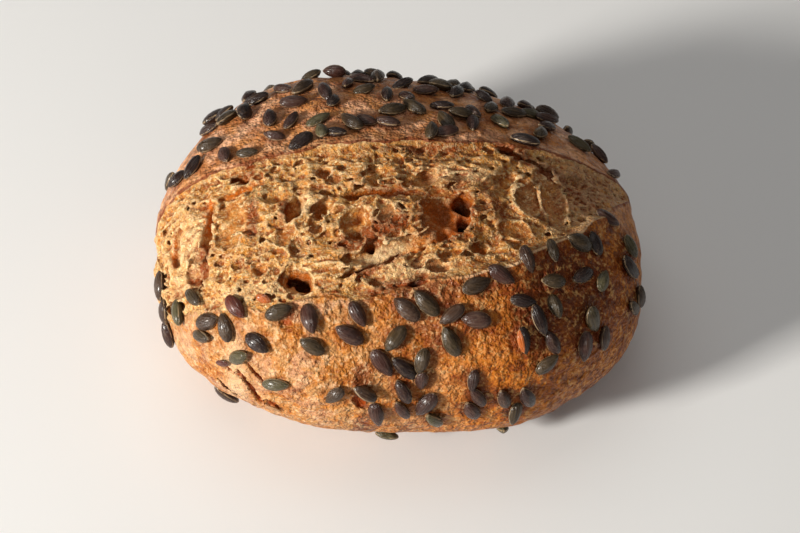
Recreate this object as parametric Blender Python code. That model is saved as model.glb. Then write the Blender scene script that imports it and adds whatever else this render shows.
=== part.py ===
"""A rye bread loaf that tore open along its top in the oven, with pumpkin seeds on its crust.

The origin is the middle of the flat sole, +Z is up and +X runs along the loaf. The wide tear leans
towards -Y. The loaf and its seeds are one solid.
"""

import math
import random

import bmesh
import bpy
import numpy as np
from mathutils import Matrix, Vector, noise

# The loaf, in metres. Its core is the point that the crust is measured from, level with its widest line.
HALF_LENGTH = 0.1188
HALF_DEPTH = 0.098
DOME_HEIGHT = 0.070
TUCK_DEPTH = 0.052  # from the core down to where the sides would close under the loaf
CORE_HEIGHT = 0.044  # of the core above the sole
SOLE_LEVEL = 0.0530  # depth under the core that the underside rounds off towards
CORE_SHIFT = (-0.0016, -0.0008)  # sideways, so that the whole loaf's box is centred on the origin
FULLNESS = 2.34  # 2 is an ellipsoid, more is boxier
SKEW = 0.079  # swells the back left and the front right
EGG = 0.015  # makes the right end more pointed than the left
LEAN = 0.010  # fills out the front more than the back
SOLE_SNAP = 0.0002
SOLE_SHARPNESS = 8  # how tightly the sides turn into the sole
SWELL_HEIGHT = 0.0030  # of the crust's broad unevenness
SWELL_SIZE = 0.055

# The tear. It runs over the top from below the left end to the right end.
TEAR_WIDTH = 0.080
TEAR_MIDDLE = -0.025  # along X, where the tear is widest
TEAR_REACH_LEFT = 0.112
TEAR_REACH_RIGHT = 0.145
TEAR_POWER = 3.2  # of the front edge's curve
TEAR_BACK_Y = 0.011  # of its back edge, at the loaf's middle
TEAR_BACK_SLOPE = 0.06
TEAR_FOOT = -0.030  # level, from the core, where the tear closes under the left end
TEAR_FOOT_RISE = 0.035
RAGGED_DEPTH = 0.0028  # of the edges' wander
RAGGED_SIZE = 0.016
RECESS = 0.0024  # of the torn crumb under the crust, none at the left end
RECESS_START = (-0.114, -0.085)
RECESS_RUN = 0.004
LIP_HEIGHT = 0.0030  # of the crust's rim along the front edge, at the right end
LIP_RUN = 0.009
EAR_HEIGHT = 0.0012  # of the rim that the crust lifts along the back edge
EAR_RUN = 0.006
CRAG_HEIGHT = 0.0030
CRAG_SIZE = 0.013

# The larger hollows in the crumb, in millimetres: where along and across, how long, wide and deep, and
# the turn of the long side from +X in degrees.
HOLLOWS = {
    "end_pocket": (-103, -24, 21, 7, 5, 80),
    "tall_slot": (-87, -26, 33, 6, 11, 87),
    "slot_pad": (-77, -27, 29, 16, 4, 90),
    "slot_brow": (-74, -8, 16, 5, 4, 15),
    "upper_left_hole": (-72, 0, 11, 5, 5, -15),
    "left_step": (-94, -43, 13, 7, 4, -35),
    "dim_bay": (-56, -18, 15, 9, 4, 0),
    "upper_dimple": (-50, -6, 15, 8, 3, 0),
    "upper_hole": (-33, -6, 7, 6, 6, 0),
    "twin_hole": (-46, -26, 17, 8, 8, 80),
    "twin_hole_right": (-34, -27, 11, 9, 8, 30),
    "twin_bubble": (-36, -35, 10, 8, 4, 90),
    "middle_cell": (-50, -40, 11, 9, 5, 45),
    "middle_bay": (-31, -44, 16, 11, 4, 0),
    "lower_mouth": (-43, -61, 17, 9, 11, -30),
    "lower_hole": (-62, -53, 8, 5, 5, 0),
    "ring_pocket": (-12, -10, 16, 12, 5, 0),
    "crescent_hole": (-17, -36, 15, 13, 8, 60),
    "shallow_ring": (-3, -33, 12, 11, 3, 0),
    "long_slit": (-5, -49, 44, 12, 6, 17),
    "dark_ledge": (-8, -19, 22, 7, 6, 5),
    "ledge_hole": (9, -11, 13, 8, 7, 0),
    "ledge_hole_right": (17, -8, 10, 7, 6, 0),
    "big_pocket": (24, -31, 31, 25, 9, 75),
    "big_pocket_core": (30, -25, 12, 9, 14, 60),
    "front_cell": (20, -58, 11, 7, 5, 0),
    "front_cell_right": (40, -49, 9, 7, 5, 0),
    "right_grotto": (53, -9, 14, 9, 5, 20),
    "right_oval": (62, -17, 23, 13, 6, 95),
    "far_oval": (75, -15, 24, 13, 5, 95),
    "low_ring": (56, -38, 15, 10, 5, 0),
    "edge_cut": (55, 10, 14, 6, 6, -20),
    "edge_cut_right": (70, 4, 18, 7, 5, -30),
    "far_dimple": (89, 2, 14, 9, 4, 0),
}

# The pumpkin seeds
SEED_LENGTH = 0.0135
SEED_WIDTH = 0.0074
SEED_THICKNESS = 0.0046
SEED_TAPER = 0.30  # of the width, towards the pointed end
SEED_RISE = 0.0012  # of a seed's middle above the crust
SEED_LIFT = 0.0045  # further, for a seed that would lie wholly on another one
SEED_COUNT = 168
SEED_DRAW = 29
SEED_DRAWS = 40000
SEED_LOWEST = 0.008  # above the sole
SEED_SPACING = 0.0100
CROWDING = 0.70  # of the spacing, where seeds touch
CROWDED_SHARE = 0.25
STANDING_SHARE = 0.07  # of the seeds, which stand on their edge
STANDING_ROLL = 1.1  # radians, as the next three are
LONE_TIP = 0.10  # how far a seed's tip stands off the crust, as a spread about 0
DRAWN_TIP = 0.14
SEED_ROLL = 0.20
LONE_SIZES = (0.95, 1.15)
DRAWN_SIZES = (0.86, 1.12)
LOWEST_DRAW = -0.6  # the sine of the lowest direction that seeds are drawn in
SEED_CLEARANCE = 0.0045  # from a seed's middle to the tear
SEED_SEGMENTS = 5
SEED_RINGS = 3
SEED_FILL = 1.24  # makes up for what so few sides cut off

# Seeds that lie apart on the front crust, in millimetres from the core: along X, up, and the turn of the
# seed's pointed end from +X, as seen from the front and VIEW_TILT above the level
LONE_SEEDS = (
    (-112, 11, -84), (-109, 6, -86), (-101, 18, -69), (-93, 31, -37), (-86, 28, 20), (-89, 19, -5),
    (-77, 31, 105), (-72, 40, -50), (-62, 31, -35), (-52, 44, 22), (-38, 44, -75), (-37, 35, 148),
    (-71, 21, 22), (-54, 13, -3), (-27, 13, 220), (-20, 40, 150), (-8, 1, -75), (15, 7, 225),
    (6, 49, 140), (15, 51, 135), (38, 55, 25), (49, 56, -30), (61, 57, -68), (73, 55, -75),
    (86, 51, 162), (94, 47, 110), (101, 45, -35), (112, 33, -60), (73, 49, 177), (59, 36, -80),
    (70, 23, 45), (88, 21, -98),
)
VIEW_TILT = math.radians(48)

# Where the front crust has more seeds, in millimetres from the core: x, y, z, reach, and the share of
# draws kept
SEED_PATCHES = (
    (15, -85, 34, 38, 0.9),
    (92, -50, 40, 34, 0.9),
    (55, -88, 20, 32, 0.6),
)
SEED_SHARE_LOW = 0.03
# On the back crust the share grows with height, in millimetres from the core
SEED_BACK_LEVELS = (-36, -5, 22, 42)
SEED_BACK_SHARES = (0.02, 0.10, 0.20, 1.00)

AROUND = 110
ALONG = 96
FACETS = 5000  # triangles that the bare loaf is thinned to
GATHER = 0.60  # how far the points round the loaf close up towards the tear
GATHER_TURN = math.radians(108)
SHARP_ANGLE = math.radians(50)
MM = 0.001


def smooth_step(low, high, value):
    t = np.clip((value - low) / (high - low), 0, 1)
    return t * t * (3 - 2 * t)


def crust_radius(u):
    """How far the unbroken crust lies from the core, along the unit directions u."""
    height = np.where(u[:, 2] > 0, DOME_HEIGHT, TUCK_DEPTH)
    sides = np.stack([u[:, 0] / HALF_LENGTH, u[:, 1] / HALF_DEPTH, u[:, 2] / height])
    radius = (np.abs(sides) ** FULLNESS).sum(0) ** (-1 / FULLNESS)
    x, y = u[:, 0], u[:, 1]
    radius = radius * (1 - SKEW * x * y + EGG * (x**3 - 3 * x * y**2) - LEAN * (3 * x**2 * y - y**3))
    swell = [noise.noise(Vector(p) / SWELL_SIZE) for p in u * radius[:, None]]
    radius = radius + SWELL_HEIGHT * np.array(swell)
    down = np.clip(-u[:, 2], 1e-6, None)
    rounded = (radius**-SOLE_SHARPNESS + (SOLE_LEVEL / down) ** -SOLE_SHARPNESS) ** (-1 / SOLE_SHARPNESS)
    return np.where(u[:, 2] < 0, rounded, radius)


def inside_tear(p):
    """How far the points p lie inside the tear's nearer edge, seen from above, or less than 0 on the crust."""
    x, y, z = p.T
    reach = np.where(x < TEAR_MIDDLE, TEAR_REACH_LEFT, TEAR_REACH_RIGHT)
    along = np.clip(np.abs(x - TEAR_MIDDLE) / reach, 0, 1)
    width = TEAR_WIDTH * (1 - along**TEAR_POWER) * smooth_step(TEAR_FOOT, TEAR_FOOT + TEAR_FOOT_RISE, z)
    back = TEAR_BACK_Y + TEAR_BACK_SLOPE * x
    ragged = RAGGED_DEPTH * np.array([noise.noise(Vector(q) / RAGGED_SIZE) for q in p])
    return np.minimum(back - y, y - (back - width)) + ragged


def hollow_depth(p):
    """How deep the larger hollows are at the points p, seen from above."""
    depth = np.zeros(len(p))
    for x, y, length, width, deep, turn in HOLLOWS.values():
        across = p[:, :2] - np.array([x, y]) * MM
        c, s = math.cos(math.radians(turn)), math.sin(math.radians(turn))
        run = (across[:, 0] * c + across[:, 1] * s) / (length / 2 * MM)
        side = (across[:, 1] * c - across[:, 0] * s) / (width / 2 * MM)
        bowl = np.sqrt(np.clip(1 - run**2 - side**2, 0, 1))
        depth = np.maximum(depth, deep * MM * bowl)
    return depth


def crust_points(u):
    """The loaf's surface along the unit directions u, with its tear, lip, crags and hollows."""
    radius = crust_radius(u)
    p = u * radius[:, None]
    inside = inside_tear(p)
    torn = smooth_step(0, RECESS_RUN, inside)
    crags = np.array([noise.turbulence(Vector(q) / CRAG_SIZE, 2, True) for q in p])
    front = smooth_step(0, 0.02, -p[:, 1]) * smooth_step(-0.02, 0.06, p[:, 0])
    lip = LIP_HEIGHT * front * np.exp(-((inside / LIP_RUN) ** 2))
    ear = EAR_HEIGHT * smooth_step(0, 0.01, p[:, 1]) * np.exp(-((inside / EAR_RUN) ** 2))
    recess = RECESS * smooth_step(*RECESS_START, p[:, 0])
    sunk = recess + CRAG_HEIGHT * (crags - crags.mean()) + hollow_depth(p)
    return u * (radius + (lip + ear) * (1 - torn) - torn * sunk)[:, None]


def unit(v):
    return v / np.linalg.norm(v, axis=1)[:, None]


def gathered(u):
    """Turns a sphere's poles to the loaf's ends, and closes its meridians up towards the tear."""
    turn = np.arctan2(u[:, 1], u[:, 0])
    turn = GATHER_TURN + turn - GATHER * np.sin(turn)
    girth = np.hypot(u[:, 0], u[:, 1])
    return np.stack([u[:, 2], girth * np.cos(turn), girth * np.sin(turn)], axis=1)


def made_object(name, bm, material):
    mesh = bpy.data.meshes.new(name)
    bm.to_mesh(mesh)
    bm.free()
    mesh.materials.append(material)
    return bpy.data.objects.new(name, mesh)


def loaf_material():
    material = bpy.data.materials.new("baked_crust")
    material.use_nodes = True
    shader = material.node_tree.nodes["Principled BSDF"]
    shader.inputs["Base Color"].default_value = (0.42, 0.19, 0.075, 1)
    shader.inputs["Roughness"].default_value = 0.8
    shader.inputs["Metallic"].default_value = 0.0
    return material


def bare_loaf(material):
    """The loaf with no seeds, about its core, cut flat underneath."""
    bm = bmesh.new()
    bmesh.ops.create_uvsphere(bm, u_segments=AROUND, v_segments=ALONG, radius=1)
    directions = gathered(unit(np.array([v.co for v in bm.verts])))
    for vert, point in zip(bm.verts, crust_points(directions)):
        vert.co = point
    whole = bm.verts[:] + bm.edges[:] + bm.faces[:]
    cut = bmesh.ops.bisect_plane(
        bm, geom=whole, plane_co=(0, 0, -CORE_HEIGHT), plane_no=(0, 0, -1), clear_outer=True
    )
    rim = [e for e in cut["geom_cut"] if isinstance(e, bmesh.types.BMEdge)]
    bmesh.ops.holes_fill(bm, edges=rim)
    bmesh.ops.triangulate(bm, faces=bm.faces[:])
    bmesh.ops.recalc_face_normals(bm, faces=bm.faces[:])
    loaf = made_object("loaf", bm, material)
    thin = loaf.modifiers.new("thin", "DECIMATE")
    thin.ratio = FACETS / len(loaf.data.polygons)
    return loaf


def seed_share(p):
    """The share of random draws that is kept for the crust at point p, from 0 to 1."""
    x, y, z = p / MM
    if y > 0:
        return np.interp(z, SEED_BACK_LEVELS, SEED_BACK_SHARES)
    share = SEED_SHARE_LOW
    for patch in SEED_PATCHES:
        away = np.linalg.norm(np.array([x, y, z]) - patch[:3]) / patch[3]
        share = max(share, patch[4] * math.exp(-(away**4)))
    return share


def crust_normal(direction):
    """The outward normal of the unbroken crust along one unit direction."""
    side = np.cross(direction, (0, 0, 1) if abs(direction[2]) < 0.9 else (1, 0, 0))
    side = side / np.linalg.norm(side)
    up = np.cross(side, direction)
    step = 0.03
    around = unit(np.array([direction + step * v for v in (side, up, -side, -up)]))
    p = around * crust_radius(around)[:, None]
    normal = np.cross(p[0] - p[2], p[1] - p[3])
    return normal / np.linalg.norm(normal) * np.sign(normal @ direction)


def across_view(direction, normal, turn):
    """The way along the crust that looks turned by an angle from +X, seen from the front and above."""
    toward = np.array([0, -math.cos(VIEW_TILT), math.sin(VIEW_TILT)])
    upward = np.array([0, math.sin(VIEW_TILT), math.cos(VIEW_TILT)])
    way = np.array([math.cos(turn), 0, 0]) + upward * math.sin(turn)
    way = way - toward * (way @ normal) / max(toward @ normal, 0.35)
    way = way - normal * (way @ normal)
    return way / np.linalg.norm(way)


def on_front(x, z):
    """The direction of the front crust's point that lies x along the loaf and z above its core."""
    near, far = -0.2, 0.0
    for _ in range(40):
        y = (near + far) / 2
        point = np.array([[x, y, z]])
        distance = np.linalg.norm(point)
        if distance > crust_radius(point / distance)[0]:
            near = y
        else:
            far = y
    return point[0] / distance


def seed_places():
    """The seeds as (place, normal, long way, tip, roll, size, lift), from the core.

    The lone seeds come first, and a seeded draw over the crust adds the others.
    """
    draw = random.Random(SEED_DRAW)
    places = []
    for x, z, turn in LONE_SEEDS:
        direction = on_front(x * MM, z * MM)
        normal = crust_normal(direction)
        way = across_view(direction, normal, math.radians(turn))
        place = direction * crust_radius(direction[None])[0]
        tip, roll, size = draw.gauss(0, LONE_TIP), draw.gauss(0, SEED_ROLL), draw.uniform(*LONE_SIZES)
        places.append((place, normal, way, tip, roll, size, 0))
    for _ in range(SEED_DRAWS):
        level, bearing = draw.uniform(LOWEST_DRAW, 1), draw.uniform(-math.pi, math.pi)
        chance, turn, tip = draw.random(), draw.uniform(0, 2 * math.pi), draw.gauss(0, DRAWN_TIP)
        roll, size, stands = draw.gauss(0, SEED_ROLL), draw.uniform(*DRAWN_SIZES), draw.random()
        girth = math.sqrt(1 - level**2)
        direction = np.array([girth * math.cos(bearing), girth * math.sin(bearing), level])
        point = direction * crust_radius(direction[None])[0]
        if chance > seed_share(point) or point[2] < SEED_LOWEST - CORE_HEIGHT:
            continue
        if inside_tear(point[None])[0] > -SEED_CLEARANCE:
            continue
        nearest = min((np.linalg.norm(point - other[0]) for other in places), default=1)
        if nearest < SEED_SPACING * (CROWDING if stands < CROWDED_SHARE else 1):
            continue
        if stands > 1 - STANDING_SHARE:
            roll += STANDING_ROLL
        lift = SEED_LIFT * max(0, 1 - nearest / SEED_SPACING)
        normal = crust_normal(direction)
        side = np.cross(normal, [math.cos(turn), math.sin(turn), 0.3])
        places.append((point, normal, side / np.linalg.norm(side), tip, roll, size, lift))
        if len(places) == SEED_COUNT:
            break
    return places


def seed_object(name, place, material):
    """One pumpkin seed: a flat drop with its pointed end along its own +X, half sunk in the crust."""
    point, normal, way, tip, roll, size, lift = place
    bm = bmesh.new()
    bmesh.ops.create_uvsphere(bm, u_segments=SEED_SEGMENTS, v_segments=SEED_RINGS, radius=0.5)
    bmesh.ops.rotate(bm, cent=(0, 0, 0), matrix=Matrix.Rotation(-math.pi / 2, 3, "Z"), verts=bm.verts[:])
    for vert in bm.verts:
        along, side, up = vert.co.z, vert.co.x, vert.co.y
        slim = SEED_FILL * (1 - SEED_TAPER * (along + 0.5))
        vert.co = (along * SEED_LENGTH, side * slim * SEED_WIDTH, up * slim * SEED_THICKNESS)
    bmesh.ops.recalc_face_normals(bm, faces=bm.faces[:])
    upright = Matrix([way, np.cross(normal, way), normal]).transposed().to_4x4()
    lie = Matrix.Rotation(tip, 4, "Y") @ Matrix.Rotation(roll, 4, "X")
    rise = SEED_RISE + lift + 0.25 * SEED_WIDTH * abs(math.sin(roll))
    seat = Matrix.Translation(Vector(point) + Vector(normal) * rise)
    bmesh.ops.transform(bm, matrix=seat @ upright @ lie @ Matrix.Scale(size, 4), verts=bm.verts[:])
    return made_object(name, bm, material)


def fuse(loaf, seeds):
    """Joins the seeds to the loaf in one Boolean union, then removes the seeds' own objects."""
    union = loaf.modifiers.new("seeds", "BOOLEAN")
    union.operation = "UNION"
    union.operand_type = "COLLECTION"
    union.collection = seeds
    union.solver = "EXACT"
    graph = bpy.context.evaluated_depsgraph_get()
    loaf.data = bpy.data.meshes.new_from_object(loaf.evaluated_get(graph))
    loaf.modifiers.clear()
    for seed in list(seeds.objects):
        bpy.data.objects.remove(seed)
    bpy.data.collections.remove(seeds)


def keep_largest_body(bm):
    """Drops every loose scrap and sealed hollow, so that one closed surface is left."""
    left, bodies = set(bm.verts), []
    while left:
        stack, body = [left.pop()], set()
        while stack:
            vert = stack.pop()
            body.add(vert)
            for edge in vert.link_edges:
                other = edge.other_vert(vert)
                if other in left:
                    left.remove(other)
                    stack.append(other)
        bodies.append(body)
    largest = max(bodies, key=len)
    bmesh.ops.delete(bm, geom=[v for v in bm.verts if v not in largest], context="VERTS")


def set_on_sole(loaf):
    """Moves the mesh from the core's frame to the sole's, tidied to one closed surface."""
    bm = bmesh.new()
    bm.from_mesh(loaf.data)
    bmesh.ops.remove_doubles(bm, verts=bm.verts[:], dist=0.00002)
    keep_largest_body(bm)
    bmesh.ops.translate(bm, vec=(*CORE_SHIFT, CORE_HEIGHT), verts=bm.verts[:])
    for vert in bm.verts:
        if vert.co.z < SOLE_SNAP:
            vert.co.z = 0
    bmesh.ops.triangulate(bm, faces=bm.faces[:])
    bm.to_mesh(loaf.data)
    bm.free()
    loaf.data.shade_smooth()
    loaf.data.set_sharp_from_angle(angle=SHARP_ANGLE)


def main():
    for obj in list(bpy.data.objects):
        bpy.data.objects.remove(obj)
    shown = bpy.data.collections.new("rye_bread_loaf")
    seeds = bpy.data.collections.new("pumpkin_seeds")
    for collection in (shown, seeds):
        bpy.context.scene.collection.children.link(collection)
    crust = loaf_material()
    loaf = bare_loaf(crust)
    shown.objects.link(loaf)
    for number, place in enumerate(seed_places()):
        seeds.objects.link(seed_object(f"seed_{number}", place, crust))
    fuse(loaf, seeds)
    set_on_sole(loaf)


main()
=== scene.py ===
"""The rye bread loaf as it looks: its crust, the open crumb of its wide tear, and its pumpkin seeds.

The loaf is one closed surface. A grid of distances holds the crust's shape, the crumb's bubbles are carved
out of it, and a net over the grid gives the faces. Sizes are in metres unless a name or comment says
millimetres, and heights named level are measured from the loaf's core.
"""

import math
import random
from types import SimpleNamespace

import bpy
import numpy as np
from mathutils import Matrix, Vector, noise


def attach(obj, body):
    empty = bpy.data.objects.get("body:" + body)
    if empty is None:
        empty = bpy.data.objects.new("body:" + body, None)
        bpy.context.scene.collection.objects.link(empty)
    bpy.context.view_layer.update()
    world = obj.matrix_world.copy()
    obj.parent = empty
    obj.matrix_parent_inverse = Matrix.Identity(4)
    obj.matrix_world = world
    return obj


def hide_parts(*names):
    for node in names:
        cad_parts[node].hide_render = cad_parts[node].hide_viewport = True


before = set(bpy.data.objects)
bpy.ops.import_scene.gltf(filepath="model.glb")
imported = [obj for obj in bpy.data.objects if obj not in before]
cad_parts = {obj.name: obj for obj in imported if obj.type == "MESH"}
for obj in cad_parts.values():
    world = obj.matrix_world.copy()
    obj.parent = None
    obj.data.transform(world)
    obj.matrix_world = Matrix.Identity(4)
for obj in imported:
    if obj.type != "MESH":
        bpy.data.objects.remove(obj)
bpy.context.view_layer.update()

MM = 0.001

# The loaf's body
HALF_LENGTH = 0.1188
HALF_DEPTH = 0.098
DOME_HEIGHT = 0.070
TUCK_DEPTH = 0.052
CORE = np.array([-0.0016, -0.0008, 0.044])
SOLE_LEVEL = 0.0530
SOLE_SHARPNESS = 8
FULLNESS = 2.34
SKEW = 0.079
EGG = 0.015
LEAN = 0.010
SWELL_HEIGHT = 0.0030
SWELL_SIZE = 0.055

# The tear
TEAR_WIDTH = 0.080
TEAR_MIDDLE = -0.025
TEAR_REACH_LEFT = 0.112
TEAR_REACH_RIGHT = 0.145
TEAR_POWER = 3.2
TEAR_BACK_Y = 0.011
TEAR_BACK_SLOPE = 0.06
TEAR_FOOT = -0.030
TEAR_FOOT_RISE = 0.035
TEAR_CLOSED = 0.009
TEAR_CLOSING = 0.016
RAGGED_DEPTH = 0.0028
RAGGED_SIZE = 0.016
EDGE_WIDTH = 0.001
RECESS = 0.0024
RECESS_START = (-0.114, -0.085)
RECESS_RUN = 0.004
LIP_HEIGHT = 0.0030
LIP_RUN = 0.009
EAR_HEIGHT = 0.0012
EAR_RUN = 0.006
CRAG_HEIGHT = 0.0030
CRAG_SIZE = 0.013

# The larger hollows in the crumb, in millimetres from the core: where along and across, how long, wide and
# deep, and the turn of the long side from +X in degrees
HOLLOWS = {
    "end_pocket": (-103, -24, 21, 7, 5, 80),
    "tall_slot": (-88, -25, 33, 4.6, 12, 87),
    "slot_pad": (-77, -27, 29, 15, 4, 90),
    "slot_brow": (-74, -8, 16, 4, 4, 15),
    "upper_left_hole": (-72, 0, 11, 5, 5, -15),
    "left_step": (-94, -43, 13, 7, 4, -35),
    "dim_bay": (-56, -18, 15, 9, 4, 0),
    "upper_dimple": (-50, -6, 15, 8, 3, 0),
    "upper_hole": (-33, -6, 7, 6, 6, 0),
    "twin_hole": (-46, -26, 17, 8, 8, 80),
    "twin_hole_right": (-34, -27, 11, 9, 8, 30),
    "twin_bubble": (-36, -35, 10, 8, 4, 90),
    "middle_cell": (-50, -40, 11, 9, 5, 45),
    "middle_bay": (-31, -44, 16, 11, 4, 0),
    "lower_mouth": (-43, -61, 17, 9, 11, -30),
    "lower_hole": (-62, -53, 8, 5, 5, 0),
    "ring_pocket": (-12, -10, 16, 12, 5, 0),
    "crescent_hole": (-17, -36, 15, 13, 8, 60),
    "shallow_ring": (-3, -33, 12, 11, 3, 0),
    "long_slit": (-5, -50, 46, 9, 6, 17),
    "dark_ledge": (-6, -19, 30, 8, 8, 5),
    "ledge_hole": (9, -11, 13, 8, 7, 0),
    "ledge_hole_right": (17, -8, 10, 7, 6, 0),
    "big_pocket": (23, -31, 29, 24, 8.8, 75),
    "basin_hole": (32, -23, 11, 8, 15, 110),
    "basin_hole_below": (33, -35, 8, 6, 13, 80),
    "front_cell": (20, -58, 11, 7, 5, 0),
    "front_cell_right": (40, -49, 9, 7, 5, 0),
    "right_grotto": (53, -9, 14, 9, 5, 20),
    "right_oval": (62, -17, 23, 13, 6, 95),
    "far_oval": (75, -15, 24, 13, 5, 95),
    "low_ring": (56, -38, 15, 10, 5, 0),
    "edge_cut": (55, 10, 14, 6, 6, -20),
    "edge_cut_right": (70, 4, 18, 7, 5, -30),
    "far_dimple": (89, 2, 14, 9, 4, 0),
}

# The last word of a hollow's name says if it has a thin raised rim, or keeps the crumb's own texture
RIMMED = ("oval", "ring", "bubble", "cell")
TEXTURED = ("bay", "dimple")
RIM = 0.0007
GRITTY = 0.0045  # hollows with a half size over this have uneven walls
CORED = 9  # hollows at least this deep have a second, darker bubble inside

# Narrow openings inside the larger hollows, given in the same way
SLOTS = {
    "slit_foot": (-3, -54, 38, 3.6, 15, 20),
    "slit_hole": (-11, -48, 4.0, 3.4, 15, 0),
    "step_cleft": (-91, -46, 8, 2.8, 10, -35),
    "back_cleft": (-12, -18, 26, 4.2, 13, 8),
    "front_cleft": (6, -67, 16, 2.2, 7, 8),
    "upper_cleft": (-72, 0, 8, 2.6, 9, -15),
}

# Cracks and dents in the front crust, in millimetres from the core: along and up, long, wide and deep,
# and the turn as seen from the front
CRACKS = (
    (-75, -13, 24, 4.4, 5.0, -37),
    (-67, 1, 24, 4.0, 5.0, -57),
    (-63, 14, 18, 2.4, 2.5, -42),
    (-79, 8, 20, 2.6, 2.0, -8),
    (-57, -6, 9, 6.0, 3.0, -30),
    (-49, 41, 7, 6.0, 1.6, 0),
    (-34, 29, 4, 3.0, 1.2, 0),
    (-15, 8, 10, 6.0, 1.4, -70),
    (-22, 49, 4, 3.0, 1.2, 0),
    (4, 8, 6, 4.0, 1.6, 20),
)

# Small bubbles: how many places are tried, the smallest and largest radius, and how far apart they keep
FINE_BUBBLES = (950, 0.0008, 0.0014, 0.0040)
OPEN_BUBBLES = (420, 0.0014, 0.0032, 0.0050)

# Where the crumb is red-brown, or bears painted shadows on the shadowed walls of some hollows, pale and
# floury, or amber,
# in millimetres from the core: along and across, how long and wide, the turn from +X in degrees, and how
# strongly from 0 to 1
TINTS = {
    "toast": {
        "over_the_slit": (-9, -41, 46, 13, 20, 1.0),
        # painted shadow of the slit's front wall
        "slit_foot": (-3, -55, 42, 6, 20, 1.0),
        # painted shadow under the ledge
        "dark_ledge": (-6, -19, 36, 12, 5, 0.9),
        "pocket_ring": (24, -31, 46, 40, 75, 0.75),
        "pocket_floor": (25, -30, 26, 22, 75, 0.7),
        "right_of_pocket": (46, -26, 16, 34, 20, 0.6),
        "front_edge": (6, -67, 52, 8, 6, 0.9),
        # painted shadow on the left wall of the twin hole
        "twin_hole": (-51, -26, 10, 24, 0, 0.7),
        "right_of_pad": (-66, -28, 7, 30, 0, 0.8),
        "back_edge": (14, 8, 90, 8, 4, 0.6),
        "left_back_edge": (-66, 7, 50, 6, 0, 0.6),
        "edge_cuts": (62, 8, 40, 10, -25, 0.9),
        "far_end": (98, 0, 34, 34, -40, 0.6),
        "right_ridge": (84, -2, 40, 8, -35, 1.0),
        "left_step": (-92, -44, 16, 8, -35, 0.8),
        "low_ring": (56, -40, 20, 8, 0, 0.5),
        # painted shadow at the foot of the tall slot
        "slot_foot": (-89, -36, 6, 20, 0, 1.0),
        "upper_left": (-70, 0, 18, 8, -15, 0.7),
    },
    "pale": {
        "slit_wedge": (-6, -49, 34, 6, 19, 1.0),
        "ledge_lumps": (30, -8, 34, 9, 0, 1.0),
        "left_end": (-98, -30, 22, 44, 0, 0.6),
        "twin_hole_right": (-41, -24, 9, 14, 0, 0.7),
        "ring_middle": (-2, -32, 16, 12, 0, 0.5),
        "right_oval": (62, -17, 12, 20, 0, 0.5),
        "front_bubbles": (10, -60, 40, 12, 8, 0.6),
        "low_front": (-60, -62, 60, 10, -5, 0.5),
        "lifted_hull": (-74, -79, 13, 8, -40, 1.0),
    },
    "amber": {
        "tall_slot": (-88, -16, 6, 20, 0, 1.0),
        "slot_brow": (-73, -8, 26, 4, 15, 1.0),
        "end_pocket": (-105, -24, 4, 22, 0, 0.9),
        "slit_end": (-27, -54, 16, 10, 20, 0.4),
        "mouth_dome": (-37, -53, 30, 15, 10, 0.4),
        "slit_right": (16, -43, 20, 8, 17, 0.6),
        "right_oval": (70, -18, 16, 26, 0, 0.6),
        "upper_band": (12, 1, 80, 14, 3, 0.4),
    },
    "scorch": {
        "right_shoulder": (80, -60, 96, 46, 38, 1.0),
        "middle_cluster": (22, -80, 56, 24, 4, 0.8),
        "under_the_lip": (20, -69, 80, 9, 6, 1.0),
        "left_of_lip": (-49, -75, 16, 12, 0, 0.7),
        "low_dent": (-15, -94, 14, 10, 0, 1.0),
        "low_middle": (4, -93, 24, 8, 0, 0.7),
        "flap": (-70, -80, 26, 14, -20, 0.6),
        "far_right": (104, -30, 30, 60, 20, 0.5),
    },
}

# Thin husks and a broken kernel, as the seeds that lie apart, with their tone
HUSKS = ((-79, 12, -6, 1.2), (-56, -6, -24, 1.5), (-59, 46, -20, 1.8))
SPLIT_SEED = 29  # of the seeds that lie apart, the one that shows its orange inside
BROKEN_SEED = 7

# The seeds
SEED_LENGTH = 0.0135
SEED_WIDTH = 0.0074
SEED_THICKNESS = 0.0046
SEED_RISE = 0.0012
SEED_LIFT = 0.0045
SEED_COUNT = 168
SEED_DRAW = 29
SEED_DRAWS = 40000
SEED_LOWEST = 0.008
SEED_SPACING = 0.0100
CROWDING = 0.70
CROWDED_SHARE = 0.25
STANDING_SHARE = 0.07
STANDING_ROLL = 1.1
LONE_TIP = 0.10
DRAWN_TIP = 0.14
SEED_ROLL = 0.20
LONE_SIZES = (0.95, 1.15)
DRAWN_SIZES = (0.86, 1.12)
LOWEST_DRAW = -0.6
SEED_CLEARANCE = 0.0045

# Seeds that lie apart: along and up in millimetres, and the turn in degrees as seen from the front
LONE_SEEDS = (
    (-112, 11, -84), (-109, 6, -86), (-101, 18, -69), (-93, 31, -37), (-86, 28, 20), (-89, 19, -5),
    (-77, 31, 105), (-72, 40, -50), (-62, 31, -35), (-52, 44, 22), (-38, 44, -75), (-37, 35, 148),
    (-71, 21, 22), (-54, 13, -3), (-27, 13, 220), (-20, 40, 150), (-8, 1, -75), (15, 7, 225),
    (6, 49, 140), (15, 51, 135), (38, 55, 25), (49, 56, -30), (61, 57, -68), (73, 55, -75),
    (86, 51, 162), (94, 47, 110), (101, 45, -35), (112, 33, -60), (73, 49, 177), (59, 36, -80),
    (70, 23, 45), (88, 21, -98),
)
VIEW_TILT = math.radians(48)

# Groups of seeds: middle and reach in millimetres, and the share of the random draws that is kept
SEED_PATCHES = ((15, -85, 34, 38, 0.9), (92, -50, 40, 34, 0.9), (55, -88, 20, 32, 0.6))
SEED_SHARE_LOW = 0.03
SEED_BACK_LEVELS = (-36, -5, 22, 42)
SEED_BACK_SHARES = (0.02, 0.10, 0.20, 1.00)

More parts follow.
